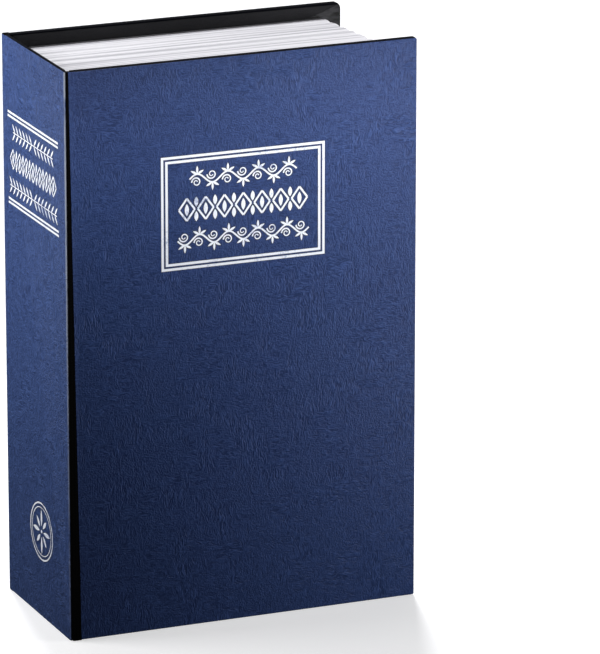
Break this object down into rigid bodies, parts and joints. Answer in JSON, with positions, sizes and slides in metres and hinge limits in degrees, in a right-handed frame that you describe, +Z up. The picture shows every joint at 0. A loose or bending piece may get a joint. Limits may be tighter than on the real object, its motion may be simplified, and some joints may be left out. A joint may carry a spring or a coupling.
{
  "type": "diversion book safe",
  "caption": "Book-shaped safe: a cased book with a hinged cover hides a steel box whose hinged lid has a combination lock with number wheels and a turn knob.",
  "frame": {"origin": "middle of the footprint of the closed book, on the surface that it stands on", "axes": "+Z up along the spine, -Y out of the front cover, -X out of the spine"},
  "size_m": [0.115, 0.055, 0.18],
  "materials": {
    "grey_board": "matte",
    "black_leatherette": "satin, leather-embossed paper",
    "blue_cover_paper": "satin, embossed paper",
    "joint_cloth": "matte book cloth",
    "white_page_plastic": "moulded, satin",
    "grey_hammertone_steel": "hammertone",
    "zinc_plated_steel": "zinc plated",
    "black_lock_plastic": "fine textured",
    "ivory_wheel_plastic": "satin",
    "brass": "as stamped"
  },
  "bodies": {
    "root": {"back_board": "grey_board", "back_cover_wrap": "black_leatherette", "back_panel_paper": "blue_cover_paper", "back_lining": "black_leatherette", "spine_board": "grey_board", "spine_wrap": "black_leatherette", "spine_panel_paper": "blue_cover_paper", "front_joint_cloth": "joint_cloth", "back_joint_cloth": "joint_cloth", "page_block": "white_page_plastic", "box_tray": "grey_hammertone_steel", "tray_hinge_leaf": "zinc_plated_steel", "hinge_pin": "zinc_plated_steel", "strike_plate": "zinc_plated_steel", "strike_rivets": "zinc_plated_steel"},
    "front_cover": {"front_board": "grey_board", "front_cover_wrap": "black_leatherette", "front_panel_paper": "blue_cover_paper", "front_lining": "black_leatherette"},
    "lid": {"box_lid": "grey_hammertone_steel", "lid_hinge_leaf": "zinc_plated_steel", "lock_housing": "black_lock_plastic", "lock_back_cover": "black_lock_plastic", "back_cover_screws": "zinc_plated_steel", "lock_screws": "zinc_plated_steel", "dial_axle": "zinc_plated_steel", "detent_spring": "brass"},
    "wheel_1": {"number_wheel_1": "ivory_wheel_plastic", "code_sleeve_1": "brass"},
    "wheel_2": {"number_wheel_2": "ivory_wheel_plastic", "code_sleeve_2": "brass"},
    "wheel_3": {"number_wheel_3": "ivory_wheel_plastic", "code_sleeve_3": "brass"},
    "knob": {"turn_knob": "black_lock_plastic", "knob_spindle": "zinc_plated_steel", "latch": "zinc_plated_steel", "latch_screw": "zinc_plated_steel"},
    "lock_bar": {"lock_bar": "zinc_plated_steel"},
    "code_lever": {"code_lever": "zinc_plated_steel"}
  },
  "joints": [
    {"name": "cover_hinge", "type": "hinge", "parent": "root", "child": "front_cover", "pos_m": [-0.05685, -0.02685, 0.09], "axis": [0, 0, -1], "range_deg": [0, 180]},
    {"name": "lid_hinge", "type": "hinge", "parent": "root", "child": "lid", "pos_m": [-0.0495, -0.0207, 0.09], "axis": [0, 0, -1], "range_deg": [0, 100]},
    {"name": "wheel_1_spin", "type": "hinge", "parent": "lid", "child": "wheel_1", "pos_m": [0.0165, -0.01885, 0.1049], "axis": [0, 0, 1], "continuous": true},
    {"name": "wheel_2_spin", "type": "hinge", "parent": "lid", "child": "wheel_2", "pos_m": [0.0165, -0.01885, 0.09815], "axis": [0, 0, 1], "continuous": true},
    {"name": "wheel_3_spin", "type": "hinge", "parent": "lid", "child": "wheel_3", "pos_m": [0.0165, -0.01885, 0.0914], "axis": [0, 0, 1], "continuous": true},
    {"name": "knob_turn", "type": "hinge", "parent": "lid", "child": "knob", "pos_m": [0.0165, -0.018, 0.0741], "axis": [0, -1, 0], "range_deg": [0, 90]},
    {"name": "lock_bar_slide", "type": "slide", "parent": "lid", "child": "lock_bar", "axis": [1, 0, 0], "range_m": [0, 0.0007]},
    {"name": "code_lever_slide", "type": "slide", "parent": "lid", "child": "code_lever", "axis": [0, 0, 1], "range_m": [0, 0.003]}
  ],
  "couplings": [
    {"joint": "lid_hinge", "follows": "cover_hinge", "ratio": 0.555},
    {"joint": "lock_bar_slide", "follows": "knob_turn", "m_per_rad": 0.00044}
  ]
}
